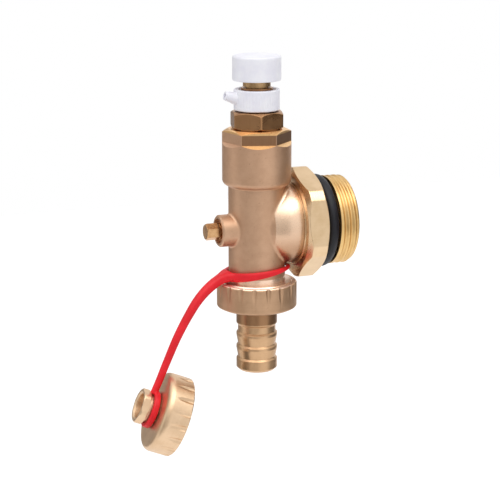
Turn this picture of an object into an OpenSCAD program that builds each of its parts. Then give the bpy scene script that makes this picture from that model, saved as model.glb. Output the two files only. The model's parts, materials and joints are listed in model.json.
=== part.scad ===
// Manifold end valve in brass: manual air vent on top, drain outlet with hose tail
// below, swivelling threaded port on +X and a key-operated drain spindle on -X.
// The origin is on the port's axis where its thread starts. +X points out of the
// port and +Z up the barrel.

/* [Port] */
// Distance from the start of the thread back to the barrel's axis
body_reach = 27; // [25:0.5:33]
// Outside diameter of the port's thread
port_thread_d = 33.25; // [30:0.05:36]
// Length of the port's thread
port_thread_len = 7.6; // [6:0.1:14]
// Bore of the port
port_bore_d = 22; // [16:0.5:24]
// Width across the flats of the port's hexagon
port_hex_af = 37.5; // [36:0.5:39]
// Diameter to which the corners of the port's hexagon are turned
port_hex_turned_d = 41; // [40:0.2:42]
// Thickness of the port's hexagon
port_hex_t = 8; // [6:0.2:9]
// Width of the groove that the port's seal lies in
seal_groove_w = 5.6; // [5:0.1:7]
// Thickness of the port's seal
port_seal_t = 4.6; // [4:0.1:4.8]
// Outside diameter of the sleeve that turns in the body
sleeve_d = 18; // [16:0.2:20]
// Bore of the sleeve
sleeve_bore_d = 13; // [10:0.2:13.6]

/* [Body] */
// Diameter of the barrel
barrel_d = 21; // [20.4:0.1:22]
// Diameter of the vent housing on top of the barrel
housing_d = 25.4; // [24.4:0.1:27]
// Height of the housing's top above the port's axis
housing_top = 36.2; // [34:0.1:42]
// Height of the housing's lower edge
housing_low = 17.5; // [16.5:0.1:22]
// Width across the wrench flats of the housing
housing_af = 22; // [21.2:0.1:22.4]
// Height of the wrench flats
housing_flat_h = 4.8; // [3:0.2:7]
// Radius of the rounded port side
dome_r = 14.5; // [13.8:0.1:14.6]
// Centre of the rounded port side, from the barrel's axis
dome_x = 11.4; // [10.6:0.1:11.8]
// Diameter of the spindle boss
boss_d = 11.9; // [11:0.1:13]
// Distance from the barrel's axis to the end of the boss
boss_reach = 15.2; // [14.6:0.1:20]
// Diameter of the chamber that holds the ball and its seats
chamber_d = 15.5; // [15.2:0.1:16]
// Outside diameter of the thread under the barrel
outlet_thread_d = 26.4; // [25.6:0.1:26.6]
// Length of the thread under the barrel
outlet_thread_len = 4.9; // [4:0.1:7]
// Depth of the outlet shoulder below the port's axis
outlet_z = 20.7; // [20:0.1:26]

/* [Drain cock] */
// How far the cock's axis lies below the port's axis
cock_drop = 1.1; // [0:0.1:1.5]
// Diameter of the ball
ball_d = 14.4; // [14:0.1:14.6]
// Bore through the ball and its seats
ball_bore_d = 7.2; // [5:0.1:7.6]
// Diameter of the spindle
spindle_d = 6; // [5:0.1:6.2]
// Width across the flats of the spindle's key end
key_af = 5.5; // [4.6:0.1:5.6]
// How far the key end stands out of the boss
key_len = 5; // [3:0.1:8]

/* [Vent] */
// Width across the flats of the vent's hexagon
vent_hex_af = 18; // [17.6:0.1:18.6]
// Height of the vent's hexagon
vent_hex_h = 6.4; // [4:0.1:9]
// Diameter of the vent's thread in the housing
vent_thread_d = 16; // [15.8:0.1:16.8]
// Diameter of the neck that the spout turns on
neck_d = 11.6; // [11:0.1:12.6]
// Diameter of the spout's collar
collar_d = 16.8; // [15.4:0.1:18]
// Height of the spout's collar
collar_h = 7.6; // [7:0.1:9]
// Reach of the spout from the vent's axis
spout_reach = 12.9; // [11.6:0.1:16]
// Diameter of the knob
knob_d = 17.8; // [15:0.1:22]
// Height of the knob
knob_h = 9; // [7:0.1:12]
// Diameter of the stem's head, where it shows under the knob
stem_head_d = 10.1; // [9:0.1:11]
// Gap between the neck and the stem's head with the vent shut
stem_gap = 0.4; // [0.2:0.1:1.2]
// Length of the stem's head that shows under the knob
stem_show = 2.2; // [1.6:0.1:4]

/* [Outlet] */
// Diameter of the fluted nut and of the cap
nut_d = 29.8; // [29.2:0.1:32]
// Height of the fluted nut
nut_h = 10.1; // [9.2:0.1:13]
// Number of flutes around the nut and the cap
flute_count = 18; // [12:1:24]
// Diameter of the cutter that makes a flute
flute_d = 2.4; // [1.6:0.1:3]
// Depth of a flute
flute_depth = 0.5; // [0.2:0.05:0.6]
// Largest diameter of the hose tail
tail_d = 15.3; // [13.6:0.1:16.4]
// Bore of the hose tail
tail_bore_d = 10; // [7:0.1:11]
// Distance from the nut's bottom to the tail's end
tail_len = 24; // [20:0.2:34]
// Distance from one barb of the tail to the next
barb_pitch = 5; // [4.2:0.1:5.6]
// Depth of the barbs
barb_depth = 0.55; // [0.3:0.05:0.8]
// Thickness of the outlet's flat gasket
gasket_t = 1.8; // [1.2:0.1:2]

/* [Cap and strap] */
// Height of the cap
cap_h = 9.6; // [9:0.1:13]
// Depth of the threaded hollow in the cap
cap_hollow = 7.4; // [5:0.1:7.6]
// Diameter of the key stub's end
stub_d = 13; // [12:0.1:14]
// Length of the key stub
stub_len = 6.7; // [6:0.1:9]
// Diameter of the neck that the strap's eye turns on
eye_neck_d = 10.4; // [9.6:0.1:10.8]
// Distance of the hanging cap from the barrel's axis
cap_out = 42.3; // [40:0.1:44]
// Depth of the hanging cap's face below the port's axis
cap_drop = 65.2; // [63:0.1:68]
// Upward lean of the hanging cap's stub
cap_lean = 22; // [10:1:25]
// Sideways turn of the hanging cap about the vertical
cap_yaw = -14; // [-20:1:0]
// Turn of the strap about the barrel
strap_turn = 7; // [0:1:15]
// Thickness of the strap's ring in its own plane
strap_ring_w = 1.7; // [1.4:0.1:2]

/* [Fits] */
// Clearance of every part that turns in or on another, on the radius
turn_gap = 0.05; // [0.03:0.01:0.08]
// Clearance of a seal or ring in its groove
groove_gap = 0.1; // [0.05:0.01:0.15]
// Gap between faces that pass each other
face_gap = 0.3; // [0.2:0.05:0.4]
// Clearance between the strap's rings and what they turn on
strap_gap = 0.3; // [0.2:0.05:0.4]

/* [Hidden] */
$fn = 96;
// Overrun of a cutter past the face it cuts
over = 1;
// Room between a hexagon's corners and the cone that chamfers them
corner_room = 0.4;

// Radii of the round parts
barrel_r = barrel_d / 2;
housing_r = housing_d / 2;
chamber_r = chamber_d / 2;
outlet_r = outlet_thread_d / 2;
ball_r = ball_d / 2;
sleeve_r = sleeve_d / 2;
port_r = port_thread_d / 2;
spindle_r = spindle_d / 2;
neck_r = neck_d / 2;
collar_r = collar_d / 2;
knob_r = knob_d / 2;
stem_head_r = stem_head_d / 2;
vent_thread_r = vent_thread_d / 2;
nut_r = nut_d / 2;
tail_r = tail_d / 2;
eye_neck_r = eye_neck_d / 2;
stub_r = stub_d / 2;

// Port, measured along X from the barrel's axis
hex_back = body_reach - seal_groove_w - port_hex_t;
dome_end = hex_back - face_gap;
sleeve_room = 0.75;
sleeve_end = chamber_r + sleeve_room;
seal_groove_depth = 4;
seal_groove_r = port_r - seal_groove_depth;
web_t = 2.4;
hex_chamfer_w = 2.6;
hex_chamfer_h = 1.3;
hex_end_w = 1.9;
hex_end_h = 1.1;
port_hex_turn = -8.7;
thread_chamfer = 1;
ring_t = 1;
swivel_seal_t = 1.2;
swivel_groove_w = 1.5;
sleeve_land = (dome_end - sleeve_end - swivel_groove_w - ring_t) / 3;
swivel_seal_x = sleeve_end + sleeve_land + swivel_groove_w / 2;
ring_back = dome_end - sleeve_land - ring_t;

// Body
housing_round = housing_r - barrel_r;
housing_flat_turn = -16.8;
ledge_drop = 1.1;
top_chamfer_w = 2.3;
top_chamfer_h = 1.1;
boss_chamfer = 0.5;
boss_recess_r = boss_d / 2 - 1.3;
boss_recess = 1.5;
outlet_bore_r = ball_bore_d / 2 + 1.4;
seat_h = 3.6;
seat_bore_r = ball_bore_d / 2 + 0.8;
seat_low = 8.6;
retainer_h = 3;
retainer_slot_w = 2;
retainer_slot_h = 1.2;
chamber_top = seat_low + retainer_h;

// Spindle, measured along -X from the barrel's axis
slot_w = 3;
slot_depth = 2.2;
tang_len = 8;
tang_gap = 0.2;
tang_from = ball_r - slot_depth + tang_gap;
spindle_collar_r = spindle_r + 1.2;
collar_from = ball_r + tang_gap;
spindle_collar_t = 1.2;
thrust_t = 0.8;
thrust_from = collar_from + spindle_collar_t;
pocket_end = thrust_from + thrust_t;
shank_end = boss_reach - 0.2;
spindle_seal_t = 0.9;
spindle_groove_w = 1.2;
spindle_seal_xs = [11.1, 12.8];
key_chamfer = 0.5;
key_turn = 0;

// Vent, measured up the barrel's axis
vent_hex_turn = 18;
vent_chamfer_w = 1.6;
vent_chamfer_h = 1;
vent_thread_len = 7;
vent_low = housing_top - vent_thread_len;
vent_seat_rise = 3.4;
vent_seat_z = housing_top + vent_seat_rise;
vent_seat_r = 1.5;
vent_inner_r = 5.4;
vent_inner_top = housing_top + 0.6;
vent_chamber_r = 3.3;
neck_low = housing_top + vent_hex_h;
collar_low = neck_low + face_gap + 0.1;
collar_top = collar_low + collar_h;
neck_top = collar_top + 0.6;
stem_r = 4;
stem_thread_len = 2.8;
stem_thread_low = neck_top - stem_thread_len;
side_hole_z = (collar_low + collar_top) / 2;
side_hole_r = 1;
collar_groove_r = neck_r + 0.85;
collar_groove_w = 2;
collar_mouth_r = neck_r + 1.2;
collar_mouth_h = 1;
collar_seal_t = 1;
collar_seal_w = 1.3;
collar_seal_in = 1.6;
collar_seal_zs = [collar_low + collar_seal_in, collar_top - collar_seal_in];
spout_base_r = 2.5;
spout_tip_r = 1.7;
spout_bore_r = 0.9;
spout_rise = 16;
spout_base_z = side_hole_z + 0.4;
spout_start = collar_r - 1.4;
stem_head_low = neck_top + stem_gap;
knob_low = stem_head_low + stem_show;
knob_socket = 5.8;
knob_round = 0.8;
stem_low = vent_seat_z + 1.65;
stem_tip_r = 2.6;
stem_pin_r = 0.85;
vent_washer_t = 1.6;
vent_washer_r = 2.9;
seat_gap = 0.05;
body_seal_t = 1.4;
body_seal_w = 1.7;
body_seal_z = housing_top - 1.1;

// Outlet, measured down from the port's axis
nut_top = outlet_z + 0.3;
nut_low = nut_top + nut_h;
nut_lip = 1.5;
nut_chamfer = 1.6;
nut_edge = 0.5;
flute_turn = 14;
spigot_end = outlet_z + outlet_thread_len;
tail_collar_top = spigot_end + gasket_t;
tail_collar_low = nut_low - nut_lip - 0.1;
tail_collar_r = outlet_r - 1.3;
tail_shank_r = tail_r;
tail_low = nut_low + tail_len;
tail_end_chamfer = 0.9;
barb_valley_r = tail_r - barb_depth;
first_barb = 9.3;
barb_land = 0.9;
barb_rise = 0.7;
barb_count = 3;
tail_plain = 3;

// Cap, measured from the centre of its closed face, stub upwards
cap_chamfer = 1.4;
cap_wall = cap_h - cap_hollow;
stub_mouth_r = 4.5;
stub_mouth = 1.5;
socket_af = key_af + 0.2;
socket_bottom = 0.8;
eye_low = 0.5;
eye_h = 2.3;
stub_flange = 1.6;
eye_inner_r = eye_neck_r + strap_gap;
eye_outer_r = eye_inner_r + 1.6;
eye_neck_top = stub_len - stub_flange;
cap_gasket_t = 1.6;
cap_turn = 11;

// Strap: its ring rises by strap_rise towards strap_high_side and grows towards the tongue.
// strap_z is the height of the middle of its low side.
strap_inner_r = barrel_r + strap_gap;
strap_mid_r = strap_inner_r + strap_ring_w / 2;
strap_z = -18.6;
strap_rise = 3.2;
strap_bend = 1.3;
strap_high_side = -40;
strap_ring_h = 2.3;
strap_ring_grow = 1.3;
strap_steps = 60;
strap_sides = 12;
// Ends of the tongue's middle line, as distance from the barrel's axis and height
strap_bite = 0.2;
strap_from = [strap_mid_r + 0.15, strap_z + 1.1];
strap_to = [cap_out + cos(cap_lean) * (eye_low + eye_h) - sin(cap_lean) * (eye_inner_r + strap_bite),
    sin(cap_lean) * (eye_low + eye_h) + cos(cap_lean) * (eye_inner_r + strap_bite) - cap_drop];
// Middle line of the tongue as parts of the way from one end to the other
strap_shape = [[0, 0], [0.0775, 0.022], [0.1615, 0.0514], [0.2422, 0.0881], [0.3165, 0.1321],
    [0.3844, 0.1811], [0.4457, 0.2349], [0.5039, 0.2961], [0.5652, 0.3646], [0.6298, 0.4429],
    [0.6912, 0.5237], [0.7493, 0.6093], [0.8042, 0.695], [0.8559, 0.7757], [0.9011, 0.8491],
    [0.9431, 0.9152], [0.977, 0.9653], [1, 1]];
strap_route = [for (p = strap_shape) [strap_from[0] + p[0] * (strap_to[0] - strap_from[0]),
    strap_from[1] + p[1] * (strap_to[1] - strap_from[1])]];
strap_w_start = 4.8;
strap_w_end = 2.6;
strap_t_start = 4;
strap_t_end = 2.6;
strap_taper = 1.8;

// Points of an arc about [cx, cy], from angle a0 to angle a1
function arc(cx, cy, r, a0, a1, steps = 12) =
    [for (i = [0:steps]) let (a = a0 + (a1 - a0) * i / steps) [cx + r * cos(a), cy + r * sin(a)]];

// Moves a part built about the barrel's axis to its place in the row's frame
module at_barrel() {
    translate([-body_reach, 0, 0]) children();
}

// Moves a part built about the ball's centre to its place in the row's frame
module at_cock() {
    translate([-body_reach, 0, -cock_drop]) children();
}

// Turns a part built up +Z to point along +X
module along_x() {
    rotate([0, 90, 0]) children();
}

// Turns a part built up +Z to point along -X
module along_back() {
    rotate([0, -90, 0]) children();
}

// Solid of revolution with a bore, both from low to high
module tube(outer, inner, low, high) {
    difference() {
        translate([0, 0, low]) cylinder(r = outer, h = high - low);
        translate([0, 0, low - over]) cylinder(r = inner, h = high - low + 2 * over);
    }
}

// Round seal of section t lying in a groove with its outer edge at radius outer
module o_ring(outer, t, z) {
    translate([0, 0, z]) rotate_extrude() translate([outer - t / 2, 0]) circle(d = t, $fn = 32);
}

// Cuts a groove of width w down to radius floor_r around a shaft of radius shaft_r
module groove(shaft_r, floor_r, w, z) {
    translate([0, 0, z - w / 2]) difference() {
        cylinder(r = shaft_r + over, h = w);
        translate([0, 0, -over]) cylinder(r = floor_r, h = w + 2 * over);
    }
}

// Hexagon of width af turned to turned_d, with cones of width w and height h at its ends
module turned_hex(af, turned_d, h, low_w, low_h, top_w, top_h, turn) {
    r = turned_d / 2;
    intersection() {
        rotate([0, 0, turn]) cylinder(d = af / cos(30), h = h, $fn = 6);
        rotate_extrude() polygon([[0, 0], [r - low_w, 0], [r, low_h], [r, h - top_h],
            [r - top_w, h], [0, h]]);
    }
}

// Hexagon with its full corners, chamfered by w at low and top over the height h_cut
module sharp_hex(af, h, low_w, top_w, h_cut, turn) {
    slope = h_cut / max(low_w, top_w);
    turned_hex(af, af / cos(30) + 2 * corner_room, h,
        low_w > 0 ? low_w + corner_room : 0, low_w > 0 ? h_cut + slope * corner_room : 0,
        top_w + corner_room, h_cut + slope * corner_room, turn);
}

// Flutes around a rim of radius rim_r, from low to high
module flutes(rim_r, low, high) {
    for (i = [0:flute_count - 1])
        rotate([0, 0, i * 360 / flute_count])
            translate([rim_r + flute_d / 2 - flute_depth, 0, low])
                cylinder(d = flute_d, h = high - low, $fn = 24);
}

// Outside of the barrel and the vent housing
module barrel_outside() {
    rotate_extrude() polygon(concat(
        [[0, -spigot_end], [outlet_r - 0.5, -spigot_end], [outlet_r, -spigot_end + 0.5],
        [outlet_r, -outlet_z - 0.4], [outlet_r - 0.4, -outlet_z], [barrel_r, -outlet_z]],
        arc(barrel_r, housing_low, housing_round, -90, 0),
        [[housing_r, housing_top - top_chamfer_h], [housing_r - top_chamfer_w, housing_top],
        [0, housing_top]]));
}

// Rounded port side, cut flat where the nipple turns against it
module dome() {
    intersection() {
        translate([dome_x, 0, 0]) sphere(r = dome_r);
        translate([-dome_end, -2 * dome_r, -2 * dome_r])
            cube([2 * dome_end, 4 * dome_r, 4 * dome_r]);
    }
}

// Boss that the drain spindle comes out of
module boss() {
    translate([0, 0, -cock_drop]) along_back() rotate_extrude() polygon([[0, 0], [boss_d / 2, 0],
        [boss_d / 2, boss_reach - boss_chamfer], [boss_d / 2 - boss_chamfer, boss_reach],
        [0, boss_reach]]);
}

// Cuts one wrench flat with its sloping ledge, for a flat that faces +X
module flat_cut() {
    flat_x = housing_af / 2;
    ledge_z = housing_top - housing_flat_h;
    slope = ledge_drop / (housing_r - flat_x);
    rotate([90, 0, 0]) translate([0, 0, -housing_r])
        linear_extrude(height = 2 * housing_r) polygon([[flat_x, ledge_z],
            [housing_r + over, ledge_z - slope * (housing_r + over - flat_x)],
            [housing_r + over, housing_top + over], [flat_x, housing_top + over]]);
}

// Everything that is bored out of the body
module body_bores() {
    translate([0, 0, -seat_low - cock_drop])
        cylinder(r = chamber_r, h = seat_low + housing_top);
    translate([0, 0, chamber_top - cock_drop])
        cylinder(r = vent_thread_r + turn_gap, h = housing_top - chamber_top + cock_drop + over);
    translate([0, 0, -spigot_end - over])
        cylinder(r = outlet_bore_r, h = spigot_end + over);
    along_x() cylinder(r = sleeve_bore_d / 2 - 1.5, h = dome_end);
    along_x() translate([0, 0, sleeve_end - face_gap])
        cylinder(r = sleeve_r + turn_gap, h = dome_end - sleeve_end + face_gap + over);
    along_x() translate([0, 0, ring_back - groove_gap])
        cylinder(r = sleeve_r + turn_gap + 0.65, h = ring_t + 2 * groove_gap);
    translate([0, 0, -cock_drop]) along_back() {
        cylinder(r = spindle_r + turn_gap, h = boss_reach + over);
        cylinder(r = spindle_collar_r + turn_gap, h = pocket_end);
        translate([0, 0, boss_reach - boss_recess])
            cylinder(r = boss_recess_r, h = boss_recess + over);
    }
}

// Cast body: barrel, vent housing, port side, spindle boss and outlet thread
module valve_body() {
    color("#b08868") at_barrel() difference() {
        union() {
            barrel_outside();
            dome();
            boss();
        }
        for (i = [0:5]) rotate([0, 0, housing_flat_turn + 30 + i * 60]) flat_cut();
        body_bores();
    }
}

// Ball of the drain cock: water enters along +X and leaves upwards at rest
module ball() {
    color("silver") at_cock() difference() {
        sphere(r = ball_r);
        along_x() cylinder(d = ball_bore_d, h = ball_d);
        cylinder(d = ball_bore_d, h = ball_d);
        translate([-ball_d, -slot_w / 2 - turn_gap, -ball_r])
            cube([ball_d - ball_r + slot_depth, slot_w + 2 * turn_gap, ball_d]);
    }
}

// Seat ring with its ball side facing down
module seat() {
    difference() {
        tube(chamber_r - turn_gap, seat_bore_r, seat_low - seat_h, seat_low);
        sphere(r = ball_r + turn_gap);
    }
}

// Seat ring above the ball
module upper_seat() {
    color("white") at_cock() seat();
}

// Seat ring under the ball
module lower_seat() {
    color("white") at_cock() rotate([180, 0, 0]) seat();
}

// Ring screwed in above the upper seat, with two slots for a pin wrench
module seat_retainer() {
    color("goldenrod") at_cock() difference() {
        tube(chamber_r - turn_gap, seat_bore_r, seat_low, chamber_top);
        translate([-chamber_r, -retainer_slot_w / 2, chamber_top - retainer_slot_h])
            cube([2 * chamber_r, retainer_slot_w, retainer_slot_h + over]);
    }
}

// Drain spindle: tang, collar, sealed shank and hexagonal key end
module drain_spindle() {
    color("goldenrod") at_cock() along_back() {
        difference() {
            union() {
                intersection() {
                    translate([-tang_len / 2, -slot_w / 2, tang_from])
                        cube([tang_len, slot_w, collar_from - tang_from]);
                    cylinder(r = spindle_collar_r, h = boss_reach);
                }
                translate([0, 0, collar_from])
                    cylinder(r = spindle_collar_r, h = spindle_collar_t);
                translate([0, 0, collar_from]) cylinder(r = spindle_r, h = shank_end - collar_from);
            }
            for (x = spindle_seal_xs)
                groove(spindle_r, spindle_r - spindle_seal_t - groove_gap, spindle_groove_w, x);
        }
        translate([0, 0, shank_end]) sharp_hex(key_af, key_len + boss_reach - shank_end,
            0, key_chamfer, key_chamfer, key_turn);
    }
}

// Two round seals on the spindle
module spindle_seals() {
    color("#222222") at_cock() along_back()
        for (x = spindle_seal_xs) o_ring(spindle_r - turn_gap, spindle_seal_t, x);
}

// Low-friction washer behind the spindle's collar
module thrust_washer() {
    color("white") at_cock() along_back()
        tube(spindle_collar_r, spindle_r + turn_gap, thrust_from, pocket_end);
}

// Turned port piece: sleeve, hexagon, seal groove and male thread
module port_nipple() {
    color("#d9b45a") at_barrel() along_x() difference() {
        union() {
            translate([0, 0, sleeve_end]) cylinder(r = sleeve_r, h = hex_back - sleeve_end + over);
            translate([0, 0, hex_back]) turned_hex(port_hex_af, port_hex_turned_d, port_hex_t,
                hex_chamfer_w, hex_chamfer_h, hex_end_w, hex_end_h, port_hex_turn);
            translate([0, 0, hex_back + over]) cylinder(r = seal_groove_r, h = body_reach - hex_back);
            translate([0, 0, body_reach])
                cylinder(r = port_r, h = port_thread_len - thread_chamfer);
            translate([0, 0, body_reach + port_thread_len - thread_chamfer])
                cylinder(r1 = port_r, r2 = port_r - thread_chamfer, h = thread_chamfer);
        }
        translate([0, 0, hex_back + web_t])
            cylinder(d = port_bore_d, h = body_reach + port_thread_len);
        translate([0, 0, sleeve_end - over]) cylinder(d = sleeve_bore_d, h = hex_back);
        groove(sleeve_r, sleeve_r - 0.7, ring_t + 2 * groove_gap, ring_back + ring_t / 2);
        groove(sleeve_r, sleeve_r - swivel_seal_t - groove_gap, swivel_groove_w, swivel_seal_x);
    }
}

// Thick round seal between the hexagon and the thread
module port_seal() {
    color("#1c1c1e") at_barrel() along_x()
        o_ring(seal_groove_r + port_seal_t + groove_gap, port_seal_t,
            body_reach - seal_groove_w / 2);
}

// Round seal on the sleeve
module swivel_seal() {
    color("#222222") at_barrel() along_x()
        o_ring(sleeve_r - turn_gap, swivel_seal_t, swivel_seal_x);
}

// Split ring that keeps the sleeve in the body and lets it turn
module retaining_ring() {
    color("silver") at_barrel() along_x() difference() {
        tube(sleeve_r + turn_gap + 0.5, sleeve_r - 0.5, ring_back, ring_back + ring_t);
        translate([0, -1, ring_back - over]) cube([2 * sleeve_r, 2, ring_t + 2 * over]);
    }
}

// Vent body: threaded spigot, hexagon and the neck that the spout turns on
module vent_body() {
    color("#8a6438") at_barrel() difference() {
        union() {
            translate([0, 0, vent_low]) cylinder(r = vent_thread_r, h = housing_top - vent_low);
            translate([0, 0, housing_top]) sharp_hex(vent_hex_af, vent_hex_h,
                vent_chamfer_w, vent_chamfer_w, vent_chamfer_h, vent_hex_turn);
            translate([0, 0, neck_low - over]) cylinder(r = neck_r, h = neck_top - neck_low + over);
        }
        translate([0, 0, vent_low - over])
            cylinder(r = vent_inner_r, h = vent_inner_top - vent_low + over);
        cylinder(r = vent_seat_r, h = neck_top);
        translate([0, 0, vent_seat_z]) cylinder(r = vent_chamber_r, h = neck_top - vent_seat_z);
        translate([0, 0, stem_thread_low])
            cylinder(r = stem_r + turn_gap, h = neck_top - stem_thread_low + over);
        translate([0, 0, side_hole_z]) along_x()
            translate([0, 0, -neck_d]) cylinder(r = side_hole_r, h = 2 * neck_d, $fn = 32);
        for (z = collar_seal_zs)
            groove(neck_r, neck_r - collar_seal_t - groove_gap, collar_seal_w, z);
        groove(vent_thread_r, vent_thread_r - body_seal_t - groove_gap, body_seal_w, body_seal_z);
    }
}

// Round seal between the vent body and the housing
module vent_body_seal() {
    color("#222222") at_barrel() o_ring(vent_thread_r - turn_gap, body_seal_t, body_seal_z);
}

// Vent stem: head in the knob, thread in the neck and a pin that carries the washer
module vent_stem() {
    color("#a8894e") at_barrel() {
        translate([0, 0, stem_head_low])
            cylinder(r = stem_head_r, h = stem_show + knob_socket - groove_gap);
        translate([0, 0, stem_thread_low + 0.2])
            cylinder(r = stem_r, h = stem_head_low - stem_thread_low - 0.2);
        translate([0, 0, stem_low])
            cylinder(r = stem_tip_r, h = stem_thread_low - stem_low + 0.2);
        translate([0, 0, vent_seat_z + 0.4])
            cylinder(r = stem_pin_r, h = stem_low - vent_seat_z - 0.4, $fn = 48);
    }
}

// Rubber washer that shuts the vent's seat
module vent_washer() {
    color("#222222") at_barrel() tube(vent_washer_r, stem_pin_r + turn_gap,
        vent_seat_z + seat_gap, vent_seat_z + seat_gap + vent_washer_t - groove_gap);
}

// Spout and its collar, which turns on the neck
module vent_spout() {
    color("#f2f1f6") at_barrel() difference() {
        union() {
            rotate_extrude() polygon([[0, collar_low], [collar_r - 0.3, collar_low],
                [collar_r, collar_low + 0.3], [collar_r, collar_top - 0.3],
                [collar_r - 0.3, collar_top], [0, collar_top]]);
            spout_cone(0);
        }
        spout_cone(1);
        translate([0, 0, collar_low - over])
            cylinder(r = neck_r + turn_gap, h = collar_h + 2 * over);
        translate([0, 0, collar_top - collar_mouth_h])
            cylinder(r1 = neck_r + turn_gap, r2 = collar_mouth_r + 0.2, h = collar_mouth_h + 0.2);
        translate([0, 0, side_hole_z - collar_groove_w / 2])
            cylinder(r = collar_groove_r, h = collar_groove_w);
    }
}

// The spout's outside, or with bored = 1 its bore
module spout_cone(bored) {
    len = (spout_reach - spout_start) / cos(spout_rise);
    translate([-spout_start, 0, spout_base_z]) rotate([0, spout_rise - 90, 0])
        if (bored == 1)
            translate([0, 0, -1.6]) cylinder(r = spout_bore_r, h = len + 2 * over + 1, $fn = 32);
        else
            cylinder(r1 = spout_base_r, r2 = spout_tip_r, h = len, $fn = 48);
}

// Two round seals between the neck and the collar
module collar_seals() {
    color("#222222") at_barrel()
        for (z = collar_seal_zs) o_ring(neck_r - groove_gap / 2, collar_seal_t, z);
}

// Knob, pressed on the stem's head
module vent_knob() {
    knob_top = knob_low + knob_h;
    color("#f6f5fa") at_barrel() difference() {
        rotate_extrude() polygon(concat([[0, knob_low], [knob_r - 0.3, knob_low],
            [knob_r, knob_low + 0.3]],
            arc(knob_r - knob_round, knob_top - knob_round, knob_round, 0, 90),
            [[0, knob_top]]));
        translate([0, 0, knob_low - over])
            cylinder(r = stem_head_r + 0.02, h = knob_socket + over);
    }
}

// Fluted union nut that holds the hose tail
module drain_nut() {
    color("#b58f64") at_barrel() mirror([0, 0, 1]) translate([0, 0, nut_top]) difference() {
        rotate_extrude() polygon([[tail_r + turn_gap, nut_h], [nut_r - nut_chamfer, nut_h],
            [nut_r, nut_h - nut_chamfer / 2], [nut_r, nut_edge], [nut_r - nut_edge, 0],
            [outlet_r + turn_gap, 0], [outlet_r + turn_gap, nut_h - nut_lip],
            [tail_r + turn_gap, nut_h - nut_lip]]);
        rotate([0, 0, -flute_turn]) flutes(nut_r, -over, nut_h - nut_chamfer);
    }
}

// Outline of the hose tail from its collar down, one barb after another
function tail_outline() = concat(
    [[tail_bore_d / 2, -tail_low], [tail_r - tail_end_chamfer, -tail_low],
    [tail_r, -tail_low + tail_end_chamfer]],
    [for (i = [barb_count - 1:-1:0]) let (top = nut_low + first_barb - 1.4 + i * barb_pitch)
        each [[i == barb_count - 1 ? tail_r : barb_valley_r,
            i == barb_count - 1 ? -top - barb_rise - barb_land : -top - barb_pitch + 0.1],
        [tail_r, -top - barb_rise - barb_land + 0.01], [tail_r, -top - barb_rise],
        [barb_valley_r, -top]]],
    [[barb_valley_r, -nut_low - tail_plain - 1.2], [tail_shank_r, -nut_low - tail_plain],
    [tail_shank_r, -tail_collar_low], [tail_collar_r, -tail_collar_low],
    [tail_collar_r, -tail_collar_top], [tail_bore_d / 2, -tail_collar_top]]);

// Barbed hose tail with the collar that the nut pulls up
module hose_tail() {
    color("#d8b27c") at_barrel() rotate_extrude() polygon(tail_outline());
}

// Flat gasket between the body and the tail
module tail_gasket() {
    color("#222222") at_barrel() tube(tail_collar_r, tail_bore_d / 2, -tail_collar_top, -spigot_end);
}

// Puts a part built about the cap's axis where the cap hangs
module at_cap() {
    at_barrel() rotate([0, 0, strap_turn]) translate([-cap_out, 0, -cap_drop])
        rotate([0, 0, cap_yaw]) rotate([0, cap_lean - 90, 0]) children();
}

// Fluted cap whose stub is the key for the drain spindle
module drain_cap() {
    color("#c39a68") at_cap() difference() {
        union() {
            difference() {
                rotate_extrude() polygon([[0, 0], [nut_r - cap_chamfer, 0],
                    [nut_r, -cap_chamfer * 0.7], [nut_r, -cap_h + nut_edge],
                    [nut_r - nut_edge, -cap_h], [0, -cap_h]]);
                rotate([0, 0, cap_turn]) flutes(nut_r, -cap_h - over, -cap_chamfer);
            }
            rotate_extrude() polygon([[0, -0.5], [eye_neck_r, -0.5],
                [eye_neck_r, eye_neck_top], [stub_r - 0.3, eye_neck_top],
                [stub_r, eye_neck_top + 0.3], [stub_r, stub_len - 0.4],
                [stub_r - 0.4, stub_len], [0, stub_len]]);
        }
        translate([0, 0, -cap_h - over]) cylinder(r = outlet_r + turn_gap, h = cap_hollow + over);
        translate([0, 0, stub_len - stub_mouth]) cylinder(r = stub_mouth_r, h = stub_mouth + over);
        translate([0, 0, socket_bottom])
            cylinder(d = socket_af / cos(30), h = stub_len, $fn = 6);
    }
}

// Flat gasket in the bottom of the cap
module cap_gasket() {
    color("#222222") at_cap() translate([0, 0, -cap_wall - cap_gasket_t])
        cylinder(r = outlet_r - 0.2, h = cap_gasket_t);
}

// Height of the strap ring's middle at an angle
function ring_z(a) = strap_z
    + strap_rise * pow((1 + cos(a - strap_high_side)) / 2, strap_bend);
// Half height of the strap's ring at an angle, largest towards the tongue
function ring_half(a) = (strap_ring_h - strap_ring_grow * cos(a - strap_turn)) / 2;
// Side s of the strap ring's rounded section at angle a
function ring_point(a, s) = let (b = s * 360 / strap_sides,
        r = strap_mid_r + strap_ring_w / 2 * cos(b))
    [r * cos(a), r * sin(a), ring_z(a) + ring_half(a) * sin(b)];

// Closed tube from rings of points, joined end to end when looped
function tube_faces(rings, sides, looped) = concat(
    [for (i = [0:rings - (looped ? 1 : 2)], s = [0:sides - 1])
        let (j = (i + 1) % rings, t = (s + 1) % sides)
        [i * sides + s, i * sides + t, j * sides + t, j * sides + s]],
    looped ? [] : [[for (s = [sides - 1:-1:0]) s],
        [for (s = [0:sides - 1]) (rings - 1) * sides + s]]);

// Unit direction of the tongue at point i of its route
function route_dir(i) = let (n = len(strap_route) - 1,
        d = strap_route[min(i + 1, n)] - strap_route[max(i - 1, 0)])
    d / norm(d);
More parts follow.
